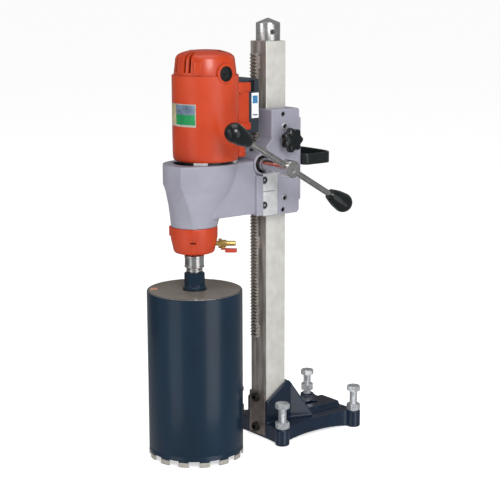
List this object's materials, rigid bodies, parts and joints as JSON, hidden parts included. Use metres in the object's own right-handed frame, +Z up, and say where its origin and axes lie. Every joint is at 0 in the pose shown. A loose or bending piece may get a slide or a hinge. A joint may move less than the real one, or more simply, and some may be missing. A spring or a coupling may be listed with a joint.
{
  "type": "core drill rig",
  "caption": "Wet coring drill on a rack-and-pinion stand: square column, levelling base with anchor slot, feed handle, water-fed spindle and core bit.",
  "frame": {"origin": "on the floor, where the column's axis meets the underside of the base", "axes": "+Z up the column, -Y towards the drill, +X towards the feed handle"},
  "size_m": [0.294, 0.5516, 1.017],
  "materials": {
    "navy_paint": "gloss paint on a casting",
    "column_steel": "satin plated square tube",
    "rack_steel": "milled steel, oiled",
    "zinc_steel": "zinc plated",
    "bright_steel": "ground and polished",
    "black_steel": "black oxide",
    "grey_casting": "satin grey coat on a casting",
    "red_housing": "semi-gloss red paint on a die casting",
    "red_plastic": "dipped grip",
    "black_plastic": "moulded, slight sheen",
    "black_band": "black paint on bent steel band",
    "switch_plastic": "fine-grained moulding",
    "brass": "machined",
    "bronze": "bearing bronze",
    "motor_core": "laminations with copper windings",
    "bit_paint": "gloss paint on a steel tube"
  },
  "bodies": {
    "stand": {"base_casting": "navy_paint", "column": "column_steel", "column_clamp_plate": "rack_steel", "clamp_bolt_upper": "black_steel", "clamp_bolt_lower": "black_steel", "rack": "rack_steel", "column_head_nut": "black_steel", "levelling_nut_front_left": "zinc_steel", "levelling_nut_front_right": "zinc_steel", "levelling_nut_rear_left": "zinc_steel", "levelling_nut_rear_right": "zinc_steel"},
    "jack": {"jack_screw": "bright_steel"},
    "leveller_front_left": {"levelling_screw_front_left": "zinc_steel"},
    "leveller_front_right": {"levelling_screw_front_right": "zinc_steel"},
    "leveller_rear_left": {"levelling_screw_rear_left": "zinc_steel"},
    "leveller_rear_right": {"levelling_screw_rear_right": "zinc_steel"},
    "carriage": {"carriage_casting": "grey_casting", "guide_pad_left": "bronze", "guide_pad_right": "bronze", "adjuster_screw_1": "black_steel", "adjuster_screw_2": "black_steel", "adjuster_screw_3": "black_steel", "adjuster_screw_4": "black_steel", "rear_handle": "black_band", "feed_bush_left": "bronze", "feed_bush_right": "bronze", "drill_bracket": "grey_casting", "motor_housing": "red_housing", "motor_cap": "red_housing", "motor_bearing_plate": "grey_casting", "motor_bearing": "bright_steel", "stator": "motor_core", "brush_holder_left": "black_plastic", "brush_holder_right": "black_plastic", "switch_housing": "switch_plastic", "cord_gland": "black_plastic", "nose_housing": "red_housing", "spindle_bearing": "bright_steel", "valve_body": "brass"},
    "lock": {"lock_knob": "black_plastic"},
    "lock_pin": {"lock_plunger": "brass"},
    "feed": {"feed_shaft": "bright_steel", "feed_pinion": "rack_steel", "feed_hub": "bright_steel", "feed_rod_front": "bright_steel", "feed_rod_rear": "bright_steel", "feed_knob_front": "black_plastic", "feed_knob_rear": "black_plastic"},
    "armature": {"armature_shaft": "bright_steel", "armature_core": "motor_core", "cooling_fan": "black_plastic", "armature_pinion": "bright_steel"},
    "layshaft_set": {"layshaft": "bright_steel", "layshaft_gear": "bright_steel"},
    "spindle_set": {"spindle": "bright_steel", "spindle_gear": "bright_steel", "bit_adapter": "black_steel", "core_bit": "bit_paint"},
    "lever": {"valve_lever": "red_plastic"},
    "rocker": {"power_switch": "black_plastic"}
  },
  "joints": [
    {"name": "jack_extend", "type": "slide", "parent": "stand", "child": "jack", "axis": [0, 0, 1], "range_m": [0, 0.08]},
    {"name": "level_front_left", "type": "slide", "parent": "stand", "child": "leveller_front_left", "axis": [0, 0, 1], "range_m": [-0.03, 0.02]},
    {"name": "level_front_right", "type": "slide", "parent": "stand", "child": "leveller_front_right", "axis": [0, 0, 1], "range_m": [-0.03, 0.02]},
    {"name": "level_rear_left", "type": "slide", "parent": "stand", "child": "leveller_rear_left", "axis": [0, 0, 1], "range_m": [-0.023, 0.02]},
    {"name": "level_rear_right", "type": "slide", "parent": "stand", "child": "leveller_rear_right", "axis": [0, 0, 1], "range_m": [-0.03, 0.02]},
    {"name": "carriage_feed", "type": "slide", "parent": "stand", "child": "carriage", "axis": [0, 0, 1], "range_m": [-0.4, 0.14]},
    {"name": "feed_turn", "type": "hinge", "parent": "carriage", "child": "feed", "pos_m": [0, -0.062, 0.684], "axis": [1, 0, 0], "range_deg": [-460, 1311]},
    {"name": "lock_turn", "type": "hinge", "parent": "carriage", "child": "lock", "pos_m": [0.06, 0.003, 0.738], "axis": [1, 0, 0], "range_deg": [-180, 0]},
    {"name": "lock_press", "type": "slide", "parent": "carriage", "child": "lock_pin", "axis": [1, 0, 0], "range_m": [-0.00076, 0.00001]},
    {"name": "spindle_spin", "type": "hinge", "parent": "carriage", "child": "spindle_set", "pos_m": [0, -0.219, 0.56], "axis": [0, 0, 1], "continuous": true},
    {"name": "layshaft_spin", "type": "hinge", "parent": "carriage", "child": "layshaft_set", "pos_m": [0.02697, -0.19295, 0.63], "axis": [0, 0, 1], "continuous": true},
    {"name": "armature_spin", "type": "hinge", "parent": "carriage", "child": "armature", "pos_m": [0, -0.183, 0.8], "axis": [0, 0, 1], "continuous": true},
    {"name": "valve_turn", "type": "hinge", "parent": "carriage", "child": "lever", "pos_m": [0.04371, -0.16691, 0.495], "axis": [0, 0, 1], "range_deg": [0, 90]},
    {"name": "switch_rock", "type": "hinge", "parent": "carriage", "child": "rocker", "pos_m": [0.031, -0.077, 0.8645], "axis": [0, 1, 0], "range_deg": [-8, 8]}
  ],
  "couplings": [
    {"joint": "feed_turn", "follows": "carriage_feed", "rad_per_m": -57.143},
    {"joint": "lock_press", "follows": "lock_turn", "m_per_rad": 0.00023873},
    {"joint": "layshaft_spin", "follows": "spindle_spin", "ratio": -3.1667},
    {"joint": "armature_spin", "follows": "spindle_spin", "ratio": 11.4}
  ]
}
